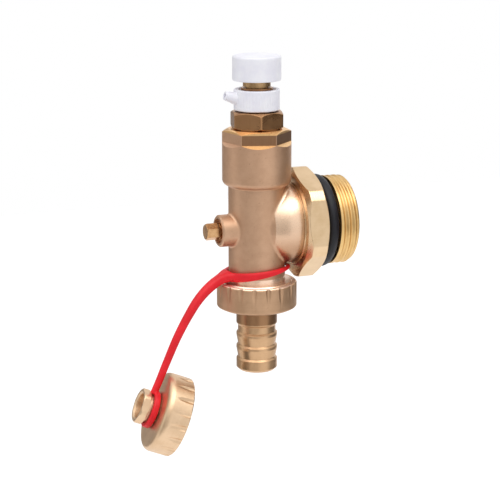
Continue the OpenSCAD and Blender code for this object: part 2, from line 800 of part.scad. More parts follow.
// Side s of the tongue's rounded section at point i
function tongue_point(i, s) = let (f = i / (len(strap_route) - 1), d = route_dir(i),
        b = s * 360 / strap_sides,
        thin = 1 - pow(1 - f, strap_taper),
        across = (strap_w_start + (strap_w_end - strap_w_start) * thin) / 2 * cos(b),
        up = (strap_t_start + (strap_t_end - strap_t_start) * thin) / 2 * sin(b))
    [d[1] * up - strap_route[i][0], across, strap_route[i][1] + d[0] * up];

// Ring of the strap around the barrel
module strap_ring() {
    polyhedron(points = [for (i = [0:strap_steps - 1], s = [0:strap_sides - 1])
            ring_point(i * 360 / strap_steps, s)],
        faces = tube_faces(strap_steps, strap_sides, true), convexity = 6);
}

// Tongue of the strap from the ring to the eye
module strap_tongue() {
    polyhedron(points = [for (i = [0:len(strap_route) - 1], s = [0:strap_sides - 1])
            tongue_point(i, s)],
        faces = tube_faces(len(strap_route), strap_sides, false), convexity = 6);
}

// Eye of the strap around the cap's neck
module strap_eye() {
    round = 0.5;
    rotate_extrude($fn = 60) polygon([[eye_inner_r, eye_low + round],
        [eye_inner_r + round, eye_low], [eye_outer_r - round, eye_low],
        [eye_outer_r, eye_low + round], [eye_outer_r, eye_low + eye_h - round],
        [eye_outer_r - round, eye_low + eye_h], [eye_inner_r + round, eye_low + eye_h],
        [eye_inner_r, eye_low + eye_h - round]]);
}

// Moulded strap that ties the cap to the barrel
module strap() {
    color("#d8232e") {
        at_barrel() {
            strap_ring();
            rotate([0, 0, strap_turn]) strap_tongue();
        }
        at_cap() strap_eye();
    }
}

valve_body();
ball();
lower_seat();
upper_seat();
seat_retainer();
drain_spindle();
spindle_seals();
thrust_washer();
port_nipple();
port_seal();
swivel_seal();
retaining_ring();
vent_body();
vent_body_seal();
vent_stem();
vent_washer();
vent_spout();
collar_seals();
vent_knob();
drain_nut();
hose_tail();
tail_gasket();
strap();
drain_cap();
cap_gasket();
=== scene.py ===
import json
import math

import bmesh
import bpy
import numpy as np
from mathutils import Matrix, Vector

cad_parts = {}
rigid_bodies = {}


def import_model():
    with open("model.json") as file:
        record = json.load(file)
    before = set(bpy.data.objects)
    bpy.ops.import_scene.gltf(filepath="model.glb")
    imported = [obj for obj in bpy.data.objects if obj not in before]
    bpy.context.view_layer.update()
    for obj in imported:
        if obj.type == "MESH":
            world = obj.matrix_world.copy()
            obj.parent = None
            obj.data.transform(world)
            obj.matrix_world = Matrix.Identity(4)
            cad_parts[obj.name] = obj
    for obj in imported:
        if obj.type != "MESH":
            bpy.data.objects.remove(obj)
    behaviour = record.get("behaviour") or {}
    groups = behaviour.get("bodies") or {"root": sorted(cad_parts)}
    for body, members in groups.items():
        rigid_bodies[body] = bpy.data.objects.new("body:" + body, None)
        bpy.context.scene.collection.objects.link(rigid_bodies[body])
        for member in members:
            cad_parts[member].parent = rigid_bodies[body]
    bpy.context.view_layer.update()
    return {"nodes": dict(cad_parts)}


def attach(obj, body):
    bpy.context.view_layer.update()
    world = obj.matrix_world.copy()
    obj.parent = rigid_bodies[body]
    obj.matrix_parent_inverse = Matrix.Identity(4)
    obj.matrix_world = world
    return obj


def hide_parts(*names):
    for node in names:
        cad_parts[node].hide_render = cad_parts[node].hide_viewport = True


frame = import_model()
nodes = frame["nodes"]
mm = 0.001

camera = {
    "azimuth": -21.0, "elevation": 13.5, "distance": 0.600,
    "aim": (-27.0, 0.0, -9.52), "lens": 116.424, "sensor": 36.0, "shiftRight": 6.75 / 500,
}


def makeCamera(c):
    a, e = math.radians(c["azimuth"]), math.radians(c["elevation"])
    back = Vector((math.sin(a) * math.cos(e), -math.cos(a) * math.cos(e), math.sin(e)))
    data = bpy.data.cameras.new("photoCamera")
    data.lens, data.sensor_width, data.sensor_fit = c["lens"], c["sensor"], "HORIZONTAL"
    data.shift_x = -c["shiftRight"]
    data.clip_start, data.clip_end = 0.01, 20
    cam = bpy.data.objects.new("photoCamera", data)
    cam.location = Vector(c["aim"]) * mm + back * c["distance"]
    cam.rotation_mode = "QUATERNION"
    cam.rotation_quaternion = (-back).to_track_quat("-Z", "Y")
    bpy.context.scene.collection.objects.link(cam)
    bpy.context.scene.camera = cam


makeCamera(camera)
bpy.context.scene.view_settings.view_transform = "Standard"
print("camera set")


# Finishes. Each is a small tree of nodes that is written as sums on wires.

def linear(rgb):
    # what the screen shows as rgb, 0 to 255, as the amount of light it stands for
    return tuple(c / 255 / 12.92 if c < 10.3 else ((c / 255 + 0.055) / 1.055) ** 2.4 for c in rgb) + (1.0,)


class Wire:
    # one output of a node; sums of wires and numbers add the Math nodes they need
    def __init__(self, finish, socket):
        self.finish, self.socket = finish, socket

    def sum(self, operation, *values):
        return self.finish.add("Math", {"operation": operation}, dict(enumerate(values)))

    def __add__(self, other): return self.sum("ADD", self, other)
    def __radd__(self, other): return self.sum("ADD", other, self)
    def __sub__(self, other): return self.sum("SUBTRACT", self, other)
    def __rsub__(self, other): return self.sum("SUBTRACT", other, self)
    def __mul__(self, other): return self.sum("MULTIPLY", self, other)
    def __rmul__(self, other): return self.sum("MULTIPLY", other, self)
    def __pow__(self, other): return self.sum("POWER", self, other)
    def __gt__(self, other): return self.sum("GREATER_THAN", self, other)
    def __lt__(self, other): return self.sum("LESS_THAN", self, other)

    def step(self, low, high):
        # 0 below low, 1 above high, and an even S curve between
        return self.finish.add("MapRange", {"interpolation_type": "SMOOTHSTEP"},
                               {0: self, 1: low, 2: high, 3: 0.0, 4: 1.0})


class Finish:
    def __init__(self, name):
        self.material = bpy.data.materials.new(name)
        self.material.use_nodes = True
        self.tree = self.material.node_tree
        self.tree.nodes.clear()
        self.where = self.add("TexCoord", out="Object")

    def add(self, kind, settings=None, sockets=None, out=0):
        node = self.tree.nodes.new("ShaderNode" + kind)
        for key, value in (settings or {}).items():
            setattr(node, key, value)
        for key, value in (sockets or {}).items():
            if isinstance(value, Wire):
                self.tree.links.new(value.socket, node.inputs[key])
            else:
                node.inputs[key].default_value = value
        return Wire(self, node.outputs[out])

    def axis(self, name):
        return self.add("SeparateXYZ", None, {0: self.where}, name)

    def mark(self, name):
        # a number kept on the points of a turned piece, in millimetres where it is a length
        return self.add("Attribute", {"attribute_name": name}, None, "Fac")

    def vector(self, x, y, z):
        return self.add("CombineXYZ", None, {0: x, 1: y, 2: z})

    def noise(self, size, detail=2.0, rough=0.5, at=None, twist=0.0):
        # size is the width of one blot in millimetres
        return self.add("TexNoise", None, {"Vector": at or self.where, "Scale": 1 / (size * mm),
                                           "Detail": detail, "Roughness": rough, "Distortion": twist})

    def mix(self, factor, a, b):
        a = a if isinstance(a, Wire) else linear(a)
        b = b if isinstance(b, Wire) else linear(b)
        return self.add("Mix", {"data_type": "RGBA"}, {0: factor, 6: a, 7: b}, 2)

    def bump(self, height, depth, strength=1.0):
        # depth in millimetres for a height of 1
        return self.add("Bump", None, {"Height": height, "Distance": depth * mm, "Strength": strength})

    def shade(self, **sockets):
        named = {key.replace("_", " "): value for key, value in sockets.items()}
        shader = self.add("BsdfPrincipled", None, named)
        end = self.tree.nodes.new("ShaderNodeOutputMaterial")
        self.tree.links.new(shader.socket, end.inputs[0])
        return self.material


# Brass as it comes out of the mould and off the blasting drum: pinkish, dull and pitted. The upper part of the dome on
# the port side gets a painted highlight and its lower part painted shade. The wrench flats, the sloping ledges under
# them, the top with its chamfer and the neck over the outlet are cut afterwards; the flats are painted darker as a
# painted reflection, the neck near white as a painted highlight, and the flat at the left is left out of the painted
# reflection and keeps the casting's colour and finish.

castBrass = {
    "light": (210, 172, 142), "dark": (186, 147, 117), "pit": (134, 98, 72), "rough": 0.47, "domeRough": 0.29,
    # the flats' colour is a painted dark reflection, and the neck's near white colour a painted highlight
    "flat": (136, 100, 70), "cut": (246, 198, 134), "neck": (250, 224, 202), "housing": 12.7, "topFrom": 35.1,
    # the flat at the left is left out of the flats' painted reflection
    "flatsFrom": 31.45, "ledgeDrop": 1.25, "neckTo": -18.5, "castLeftFlat": (-36.2, 3.6),
    # the upper part of the dome gets a painted highlight, its lower part painted shade
    "domeHighlight": (250, 218, 188), "domeHighlightFrom": -9.0, "domeHighlightTo": 5.0,
    # foot here is painted shade on the lower part of the dome
    "foot": (160, 118, 86), "footShadeFrom": -13.0, "footShadeTo": -2.0,
}


def castBrassFinish(c):
    f = Finish("castBrass")
    x, y, z = f.axis("X"), f.axis("Y"), f.axis("Z")
    off = ((x + 27 * mm) ** 2.0 + y ** 2.0) ** 0.5
    top = z > c["topFrom"] * mm
    aboveLedge, inside = z > c["flatsFrom"] * mm, off < (c["housing"] - 0.07) * mm
    # the flat at the left is left out of the painted reflection and keeps the casting's colour and finish
    castFlatX, castFlatY = c["castLeftFlat"]
    milled = inside * (1 - (x < castFlatX * mm) * (y < castFlatY * mm))
    ledge = (z > (c["flatsFrom"] - c["ledgeDrop"]) * mm) * (1 - aboveLedge) * milled
    flats = aboveLedge * milled * (1 - top)
    neck = 1 - z.step((c["neckTo"] - 0.3) * mm, c["neckTo"] * mm)
    dome = (off > 10.7 * mm) * (x > -24 * mm) * (z < 15 * mm) * (z > -17 * mm)
    cloud = f.noise(5, 3, 0.6).step(0.3, 0.7)
    grain = f.noise(0.3, 3, 0.65)
    pits = f.noise(0.8, 2, 0.5).step(0.66, 0.76)
    lines = f.noise(0.3, 2, 0.6, f.add("Mapping", None, {"Vector": f.where, "Scale": (1.0, 1.0, 0.06)}))
    colour = f.mix(cloud * 0.35 + grain * 0.65, c["dark"], c["light"])
    colour = f.mix(pits * 0.3, colour, c["pit"])
    # painted highlight on the upper part of the dome
    colour = f.mix(dome * z.step(c["domeHighlightFrom"] * mm, c["domeHighlightTo"] * mm) * 0.8, colour, c["domeHighlight"])
    # painted shade on the lower part of the dome
    colour = f.mix(dome * (1 - z.step(c["footShadeFrom"] * mm, c["footShadeTo"] * mm)) * 0.7, colour, c["foot"])
    # the wrench flats painted darker: a painted dark reflection, with drawn lines
    colour = f.mix(flats * (0.8 + lines * 0.2), colour, c["flat"])
    colour = f.mix((top + ledge) * 0.85, colour, c["cut"])
    # the neck over the outlet painted near white: a painted highlight; the neck is also smoother
    colour = f.mix(neck * 0.9, colour, c["neck"])
    smooth = top + ledge + neck
    rough = c["rough"] + (grain - 0.5) * 0.16 - smooth * 0.18 - flats * 0.1 - dome * (c["rough"] - c["domeRough"])
    cast = (grain * 0.7 + f.noise(1.6, 2) * 0.6 - pits * 0.5) * (1 - flats) * (1 - smooth * 0.8)
    return f.shade(Base_Color=colour, Metallic=0.84, Roughness=rough,
                   Normal=f.bump(cast + lines * flats * 0.4, 0.045, 0.8))


# Brass off the lathe: rings round the axis where it was turned, fine lines along the flats

def latheBrassFinish(name, c):
    f = Finish(name)
    along, radius, flat = f.mark("along"), f.mark("radius"), f.mark("flat")
    rings = f.noise(c["ring"], 2, 0.6, f.vector(along * mm, radius * mm, 0.0))
    wide = f.noise(c["ring"] * 9, 1, 0.5, f.vector(along * mm, radius * mm, 0.02))
    drawn = f.noise(0.5, 2, 0.6, f.add("Mapping", None, {"Vector": f.where, "Scale": c["drawn"]}))
    cloud = f.noise(6, 3, 0.6).step(0.3, 0.7)
    colour = f.mix(cloud * 0.45 + (rings * (1 - flat) + drawn * flat) * 0.35 + wide * 0.2,
                   c["dark"], c["light"])
    scuff = f.noise(1.1, 4, 0.7, twist=1.5).step(0.62, 0.7)
    colour = f.mix(scuff * 0.18, colour, c["scuff"])
    # a band of painted light: a painted highlight on the nut's top rim, painted shade on the tail's top under the nut
    if "paintedLightBand" in c:
        start, end, tone = c["paintedLightBand"]
        colour = f.mix(along.step(start, end) * 0.9, colour, tone)
    rough = c["rough"] + (cloud - 0.5) * 0.08 + scuff * 0.07 + flat * c["flatRough"]
    height = (rings * 0.7 + wide * 0.5) * (1 - flat) + drawn * flat * 0.25 + scuff * 0.06
    return f.shade(Base_Color=colour, Metallic=c["metal"], Roughness=rough,
                   Normal=f.bump(height, c["depth"], 1.0))


portBrass = {"light": (230, 202, 166), "dark": (208, 177, 136), "scuff": (172, 138, 98), "rough": 0.29,
             "flatRough": 0.05, "ring": 0.16, "depth": 0.012, "metal": 1.0, "drawn": (0.08, 1.0, 1.0)}
threadBrass = {"light": (236, 200, 140), "dark": (206, 166, 104), "scuff": (160, 118, 62), "rough": 0.36,
               "flatRough": 0.0, "ring": 0.3, "depth": 0.008, "metal": 1.0, "drawn": (0.08, 1.0, 1.0)}
ventBrass = {"light": (186, 142, 102), "dark": (156, 114, 76), "scuff": (98, 68, 40), "rough": 0.27,
             "flatRough": 0.0, "ring": 0.2, "depth": 0.01, "metal": 1.0, "drawn": (1.0, 1.0, 0.08)}
nutBrass = {"light": (206, 170, 138), "dark": (180, 144, 112), "scuff": (122, 90, 62), "rough": 0.5,
            "flatRough": 0.0, "ring": 0.22, "depth": 0.02, "metal": 0.9, "drawn": (1.0, 1.0, 0.3),
            # painted highlight on the top rim
            "paintedLightBand": (-21.4, -21.2, (252, 228, 206))}
tailBrass = {"light": (216, 178, 138), "dark": (188, 150, 112), "scuff": (146, 108, 70), "rough": 0.34,
             "flatRough": 0.0, "ring": 0.18, "depth": 0.014, "metal": 0.96, "drawn": (1.0, 1.0, 0.3),
             # painted shade on the tail's top section under the nut
             "paintedLightBand": (-36.9, -36.5, (150, 112, 80))}
capBrass = {"light": (234, 204, 170), "dark": (206, 172, 136), "scuff": (140, 106, 72), "rough": 0.37,
            "flatRough": 0.05, "ring": 0.2, "depth": 0.018, "metal": 0.94, "drawn": (1.0, 1.0, 0.3)}


# Brass of the small pieces that keep their shape from the frame, with rings round the axis along Z or X

def plainBrassFinish(name, light, dark, rough, along="Z"):
    f = Finish(name)
    x, y, z = f.axis("X"), f.axis("Y"), f.axis("Z")
    if along == "Z":
        off, height = ((x + 27 * mm) ** 2.0 + y ** 2.0) ** 0.5, z
    else:
        off, height = ((z + 1.1 * mm) ** 2.0 + y ** 2.0) ** 0.5, x
    rings = f.noise(0.2, 2, 0.6, f.vector(off, height, 0.0))
    cloud = f.noise(3, 3, 0.6).step(0.3, 0.7)
    spots = f.noise(0.5, 3, 0.6).step(0.6, 0.72)
    colour = f.mix(spots * 0.2, f.mix(cloud * 0.5 + rings * 0.5, dark, light), dark)
    return f.shade(Base_Color=colour, Metallic=1.0, Roughness=rough + cloud * 0.08 + spots * 0.05,
                   Normal=f.bump(rings, 0.012))


# Moulded white plastic: a trace of lavender, fine sparks from the mould, a dull bloom in places

whitePlastic = {"light": (250, 250, 255), "dark": (238, 237, 248), "rough": 0.42}


def whitePlasticFinish(c):
    f = Finish("whitePlastic")
    cloud = f.noise(5, 3, 0.55).step(0.3, 0.7)
    sparks = f.noise(0.22, 2, 0.5)
    colour = f.mix(cloud * 0.7 + sparks * 0.3, c["dark"], c["light"])
    flow = f.noise(2.2, 1, 0.4)
    return f.shade(Base_Color=colour, Roughness=c["rough"] + (sparks - 0.5) * 0.14 + cloud * 0.05,
                   Specular_IOR_Level=0.45, Subsurface_Weight=0.06, Subsurface_Radius=(1.0, 0.9, 0.9),
                   Subsurface_Scale=0.0008, Normal=f.bump(sparks * 0.5 + flow, 0.02, 0.6))


# Soft red moulding with a silky face and a paler bloom where it is stretched

redStrap = {"light": (248, 34, 48), "dark": (220, 18, 32), "bloom": (240, 80, 84), "rough": 0.42}


def redStrapFinish(c):
    f = Finish("redStrap")
    cloud = f.noise(6, 3, 0.6).step(0.3, 0.7)
    grain = f.noise(0.28, 2, 0.6)
    dust = f.noise(1.3, 4, 0.7).step(0.6, 0.75)
    colour = f.mix(cloud * 0.6 + grain * 0.4, c["dark"], c["light"])
    colour = f.mix(dust * 0.12, colour, c["bloom"])
    return f.shade(Base_Color=colour, Roughness=c["rough"] + grain * 0.1 + dust * 0.08,
                   Specular_IOR_Level=0.3, Coat_Weight=0.05, Coat_Roughness=0.3,
                   Normal=f.bump(grain + f.noise(2.5, 2) * 1.5, 0.016, 0.7))


# Black rubber with a faint bluish bloom and a parting line's worth of speckle

def rubberFinish():
    f = Finish("blackRubber")
    bloom = f.noise(2.4, 4, 0.65).step(0.35, 0.75)
    grain = f.noise(0.2, 2, 0.6)
    colour = f.mix(bloom * 0.5 + grain * 0.2, (9, 9, 15), (26, 25, 38))
    return f.shade(Base_Color=colour, Roughness=0.4 + bloom * 0.12 + grain * 0.06,
                   Specular_IOR_Level=0.35, Normal=f.bump(grain, 0.012, 0.7))


def hardPlasticFinish():
    f = Finish("seatPlastic")
    cloud = f.noise(2.0, 3, 0.6)
    grain = f.noise(0.25, 2, 0.5)
    return f.shade(Base_Color=f.mix(cloud, (226, 224, 214), (244, 243, 238)),
                   Roughness=0.4 + grain * 0.15, Normal=f.bump(grain, 0.01, 0.6))


def springSteelFinish():
    f = Finish("springSteel")
    drawn = f.noise(0.12, 2, 0.5, f.add("Mapping", None, {"Vector": f.where, "Scale": (1.0, 0.1, 0.1)}))
    cloud = f.noise(2.0, 3, 0.6)
    return f.shade(Base_Color=f.mix(cloud * 0.6 + drawn * 0.4, (120, 120, 124), (190, 190, 194)),
                   Metallic=1.0, Roughness=0.28 + drawn * 0.12, Normal=f.bump(drawn, 0.008))


finishes = {
    "cast": castBrassFinish(castBrass),
    "port": latheBrassFinish("portBrass", portBrass),
    "thread": latheBrassFinish("threadBrass", threadBrass),
    "vent": latheBrassFinish("ventBrass", ventBrass),
    "nut": latheBrassFinish("nutBrass", nutBrass),
    "tail": latheBrassFinish("tailBrass", tailBrass),
    "cap": latheBrassFinish("capBrass", capBrass),
    "stem": plainBrassFinish("stemBrass", (206, 172, 128), (160, 128, 88), 0.4),
    "spindle": plainBrassFinish("spindleBrass", (232, 190, 140), (176, 128, 86), 0.24, along="X"),
    "retainer": plainBrassFinish("retainerBrass", (214, 176, 118), (168, 128, 78), 0.3),
    "ball": plainBrassFinish("platedBall", (224, 224, 226), (176, 176, 180), 0.12, along="X"),
    "white": whitePlasticFinish(whitePlastic),
    "red": redStrapFinish(redStrap),
    "rubber": rubberFinish(),
    "seat": hardPlasticFinish(),
    "steel": springSteelFinish(),
}
print("finishes made:", len(finishes))


# Turned pieces

def turnAbout(origin, x, y, z):
    # columns x, y and z are the directions of a piece's own axes, origin its zero in millimetres
    placing = np.eye(4)
    placing[:3, 0], placing[:3, 1], placing[:3, 2], placing[:3, 3] = x, y, z, origin
    return placing


def turnZ(degrees):
    c, s = math.cos(math.radians(degrees)), math.sin(math.radians(degrees))
    return turnAbout((0, 0, 0), (c, s, 0), (-s, c, 0), (0, 0, 1))


def turnY(degrees):
    c, s = math.cos(math.radians(degrees)), math.sin(math.radians(degrees))
    return turnAbout((0, 0, 0), (c, 0, -s), (0, 1, 0), (s, 0, c))


def shift(x, y, z):
    return turnAbout((x, y, z), (1, 0, 0), (0, 1, 0), (0, 0, 1))


upBarrel = shift(-27, 0, 0)
alongPort = turnAbout((0, 0, 0), (0, 0, -1), (0, 1, 0), (1, 0, 0))
alongCap = upBarrel @ turnZ(7) @ shift(-42.3, 0, -65.2) @ turnZ(-14) @ turnY(22 - 90)


def rounded(corners, steps=6, hold=0.04):
    # outline of (height, radius, rounding) corners; each corner becomes an arc that touches both its legs
    points = np.array([c[:2] for c in corners], float)
    outline = []
    for i, corner in enumerate(corners):
        here, last, following = points[i], points[i - 1], points[(i + 1) % len(points)]
        rounding = corner[2] if len(corner) > 2 else 0.0
        legs = [np.linalg.norm(last - here), np.linalg.norm(following - here)]
        u, v = (last - here) / legs[0], (following - here) / legs[1]
        if rounding <= 0 or u @ v < -0.9999:
            outline.append(here)
            continue
        half = math.acos(float(np.clip(u @ v, -1, 1))) / 2
        reach = min(rounding / math.tan(half), 0.46 * min(legs))
        rounding = reach * math.tan(half)
        centre = here + (u + v) / np.linalg.norm(u + v) * rounding / math.sin(half)
        start, end = here + u * reach - centre, here + v * reach - centre
        a = math.atan2(start[1], start[0])
        sweep = (math.atan2(end[1], end[0]) - a + math.pi) % (2 * math.pi) - math.pi
        angles = a + sweep * np.linspace(0, 1, steps + 1)
        arc = centre + rounding * np.stack([np.cos(angles), np.sin(angles)], 1)
        outline += [here + u * (reach + hold)] + list(arc) + [here + v * (reach + hold)]
    return np.array(outline)


def finer(outline, longest, outside=0.0):
    # the same outline with its legs cut into pieces no longer than longest, where both ends lie outside a radius
    pieces = []
    for a, b in zip(outline, np.roll(outline, -1, axis=0)):
        n = int(math.ceil(np.linalg.norm(b - a) / longest)) if min(a[1], b[1]) > outside else 1
        pieces.append(a + (b - a) * np.arange(max(n, 1))[:, None] / max(n, 1))
    return np.concatenate(pieces)


def tidy(mesh, sharp=31.0, turnOut=False):
    # merges the points that lie on each other and marks the edges that stay sharp
    shell = bmesh.new()
    shell.from_mesh(mesh)
    bmesh.ops.remove_doubles(shell, verts=shell.verts, dist=2e-7)
    bmesh.ops.dissolve_degenerate(shell, edges=shell.edges, dist=1e-8)
    bmesh.ops.delete(shell, geom=[e for e in shell.edges if not e.link_faces], context="EDGES")
    if turnOut:
        bmesh.ops.recalc_face_normals(shell, faces=shell.faces)
    shell.to_mesh(mesh)
    shell.free()
    mesh.polygons.foreach_set("use_smooth", np.ones(len(mesh.polygons), bool))
    mesh.set_sharp_from_angle(angle=math.radians(sharp))
    mesh.update()


def addPiece(name, mesh, body, finish, slot, *replaced):
    piece = bpy.data.objects.new(name, mesh)
    bpy.context.scene.collection.objects.link(piece)
    mesh.materials.clear()
    mesh.materials.append(finishes[finish])
    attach(piece, body)
    if replaced:
        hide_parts(*replaced)
    mesh.calc_loop_triangles()
    print(name, len(mesh.loop_triangles), "triangles")


def gridFaces(rows, columns, closedRows=True):
    i, j = np.meshgrid(np.arange(rows if closedRows else rows - 1), np.arange(columns), indexing="ij")
    i2, j2 = (i + 1) % rows, (j + 1) % columns
    return np.stack([i * columns + j, i * columns + j2, i2 * columns + j2, i2 * columns + j], -1).reshape(-1, 4)


def turned(name, outline, placing, around=240, cut=None, first=0.0):
    # a point at height h and turn t lies at origin + r cos t X + r sin t Y + h Z; cut(h, r, t) gives the
    # radius that is left after hexagons, flutes or threads are taken off, and how much of the face is flat
    turn = math.radians(first) + np.arange(around) * 2 * math.pi / around
    height = np.repeat(outline[:, :1], around, 1)
    radius = np.repeat(outline[:, 1:2], around, 1)
    turn = np.repeat(turn[None, :], len(outline), 0)
    flat = np.zeros_like(radius)
    if cut:
        radius, flat = cut(height, radius, turn)
    local = np.stack([radius * np.cos(turn), radius * np.sin(turn), height], -1).reshape(-1, 3)
    points = (local @ placing[:3, :3].T + placing[:3, 3]) * mm
    mesh = bpy.data.meshes.new(name)
    mesh.from_pydata(points.tolist(), [], gridFaces(len(outline), around).tolist())
    for mark, values in (("along", height), ("radius", radius), ("flat", flat)):
        mesh.attributes.new(mark, "FLOAT", "POINT").data.foreach_set("value", values.ravel().astype(np.float32))
    tidy(mesh)
    return mesh


def softMin(a, b, blend):
    # the smaller of two radii, with the corner where they cross rounded over about blend
    near = np.clip(blend - np.abs(a - b), 0, None) / blend
    return np.minimum(a, b) - near * near * blend / 4


def hexagonRadius(turn, across, corner, crisp=220):
    # radius of a hexagon of a width across its flats and a corner at an angle: the largest of six cosines
    cosines = [np.clip(np.cos(turn - math.radians(corner + 30 + 60 * k)), 0, None) ** crisp for k in range(6)]
    return across / 2 / sum(cosines) ** (1 / crisp)


# Port piece: sleeve, hexagon and seal groove, and apart from them the threaded end

port = {
    "across": 37.5, "corner": -8.7, "hexFrom": -13.6, "hexTo": -5.6,
    "crest": 16.625, "pitch": 2.309, "depth": 0.75, "start": 2.0, "threadTurn": 0.35,
}


def portHexagonCut(height, radius, turn):
    hexagon = hexagonRadius(turn, port["across"], port["corner"])
    within = (height > port["hexFrom"] - 0.01) & (height < port["hexTo"] + 0.01) & (radius > 16)
    cut = np.where(within, softMin(radius, hexagon, 0.12), radius)
    return cut, np.where(within & (hexagon < radius - 0.03), 1.0, 0.0)


def portThreadCut(height, radius, turn):
    # a groove that winds once round for each pitch, worn to a cosine
    phase = height / port["pitch"] - turn / (2 * math.pi) + port["threadTurn"]
    wave = 0.5 - 0.5 * np.cos(2 * math.pi * phase)
    fade = np.clip(height / port["start"], 0, 1)
    fade = fade * fade * (3 - 2 * fade)
    grooved = port["crest"] - port["depth"] * wave * fade
    return np.where(radius > 12.7, softMin(radius, grooved, 0.05), radius), np.zeros_like(radius)


hexOutline = rounded([
    (-18.5, 6.5), (-18.5, 9.0, 0.2), (-13.84, 9.0), (-13.84, 15.2, 0.1), (-13.6, 15.5), (-13.6, 17.9, 0.12),
    (-12.3, 20.5, 0.35), (-6.7, 20.5, 0.35),
    (-5.6, 18.6, 0.15), (-5.6, 12.62), (0.02, 12.62), (0.02, 11.0), (-11.2, 11.0), (-11.2, 6.5)])
# 468 columns, so that the edges between the flats and the turned corners lie on columns
hexMesh = turned("portHexagon", finer(hexOutline, 0.2, 17.5), alongPort, 468, portHexagonCut, port["corner"])
addPiece("portHexagon", hexMesh, "port", "port", "turned_brass", "port_nipple")
threadOutline = rounded([
    (0.0, 11.0), (0.0, 16.625, 0.12), (6.6, 16.625), (7.6, 15.625, 0.15), (7.6, 11.0, 0.2)])
addPiece("portThread", turned("portThread", finer(threadOutline, 0.085, 15.3), alongPort, 400, portThreadCut),
         "port", "thread", "turned_brass", "port_nipple")


# Thick seal between hexagon and thread, with the faint parting line of its mould

seal = {"middle": -2.8, "centre": 15.025, "half": 2.3, "seam": 0.05}


def sealOutline(s, steps=72):
    # circle about (middle, centre); the seam adds a narrow ridge where the mould closed, on the outside
    angle = np.arange(steps) * 2 * math.pi / steps
    half = s["half"] + s["seam"] * np.exp(-((angle - math.pi / 2) / 0.06) ** 2)
    return np.stack([s["middle"] + half * np.cos(angle + math.pi), s["centre"] + half * np.sin(angle)], 1)[::-1]


addPiece("portSealRing", turned("portSealRing", sealOutline(seal), alongPort, 240),
         "port", "rubber", "black_rubber", "port_seal")
print("port dressed")


# Vent: hexagon and neck, collar with its spout, knob

vent = {
    "across": 18.0, "corner": 18.0, "crisp": 60, "hexFrom": 36.2, "hexTo": 42.6,
    "collarRibs": 44, "ribDepth": 0.1, "ribFrom": 43.7, "ribTo": 50.0,
}


def ventCut(height, radius, turn):
    hexagon = hexagonRadius(turn, vent["across"], vent["corner"], vent["crisp"])
    within = (height > vent["hexFrom"] - 0.01) & (height < vent["hexTo"] + 0.01) & (radius > 8.2)
    cut = np.where(within, softMin(radius, hexagon, 0.1), radius)
    return cut, np.where(within & (hexagon < radius - 0.03), 1.0, 0.0)


ventOutline = rounded([
    (29.2, 5.4), (29.2, 8.0, 0.2), (36.2, 8.0), (36.2, 8.79, 0.1), (37.2, 10.44, 0.3), (41.6, 10.44, 0.3),
    (42.6, 8.79, 0.15), (42.6, 5.8), (43.95, 5.8), (43.95, 4.7), (45.25, 4.7), (45.25, 5.8), (48.35, 5.8),
    (48.35, 4.7), (49.65, 4.7), (49.65, 5.8), (51.2, 5.8, 0.2), (51.2, 4.05), (48.4, 4.05), (48.4, 3.3),
    (39.6, 3.3), (39.6, 1.5), (36.8, 1.5), (36.8, 5.4)])
addPiece("ventHexagon", turned("ventHexagon", finer(ventOutline, 0.25, 8.5), upBarrel, 480, ventCut, vent["corner"]),
         "valve", "vent", "dark_brass", "vent_body")


def collarCut(height, radius, turn):
    # shallow upright grooves, cosine to a high power, that die out towards both rims
    inside = np.clip(np.minimum(height - vent["ribFrom"], vent["ribTo"] - height) / 0.5, 0, 1)
    groove = (0.5 + 0.5 * np.cos(vent["collarRibs"] * turn)) ** 3
    return np.where(radius > 8.3, radius - vent["ribDepth"] * groove * inside, radius), np.zeros_like(radius)


collarOutline = rounded([
    (43.0, 5.85), (43.0, 8.4, 0.5), (50.6, 8.4, 0.5), (50.6, 7.0, 0.15), (49.6, 5.85), (47.8, 5.85),
    (47.8, 6.65), (45.8, 6.65), (45.8, 5.85)])
spout = {"from": 7.0, "z": 47.2, "rise": 16.0, "length": 6.13}
spoutOutline = rounded([
    (-0.3, 0.9), (-0.3, 2.5), (1.2, 2.35, 0.8), (spout["length"] - 0.5, 1.6, 0.5), (spout["length"] - 0.5, 0.9, 0.15)])
alongSpout = upBarrel @ shift(-spout["from"], 0, spout["z"]) @ turnY(spout["rise"] - 90)


def joined(name, *meshes):
    # several closed shells that overlap, kept in one mesh
    whole = bmesh.new()
    for mesh in meshes:
        whole.from_mesh(mesh)
    made = bpy.data.meshes.new(name)
    whole.to_mesh(made)
    whole.free()
    made.polygons.foreach_set("use_smooth", np.ones(len(made.polygons), bool))
    made.set_sharp_from_angle(angle=math.radians(31))
    return made


collarMesh = turned("collarPart", finer(collarOutline, 0.45, 8.0), upBarrel, 704, collarCut)
spoutMesh = turned("spoutPart", finer(spoutOutline, 0.3), alongSpout, 96)
addPiece("spoutCollar", joined("spoutCollar", collarMesh, spoutMesh), "spout", "white", "white_plastic", "vent_spout")

knobOutline = rounded([
    (53.8, 5.1), (53.8, 8.9, 0.4), (62.8, 8.9, 0.9), (62.8, 0.0), (59.6, 0.0), (59.6, 5.1)])
addPiece("handKnob", turned("handKnob", finer(knobOutline, 0.6), upBarrel, 240), "knob", "white",
         "white_plastic", "vent_knob")
print("vent dressed")


# Fluted nut, hose tail and cap

flutes = {"count": 18, "cutter": 1.2, "depth": 0.5, "rim": 14.9, "nutTurn": -14.0, "capTurn": 11.0}


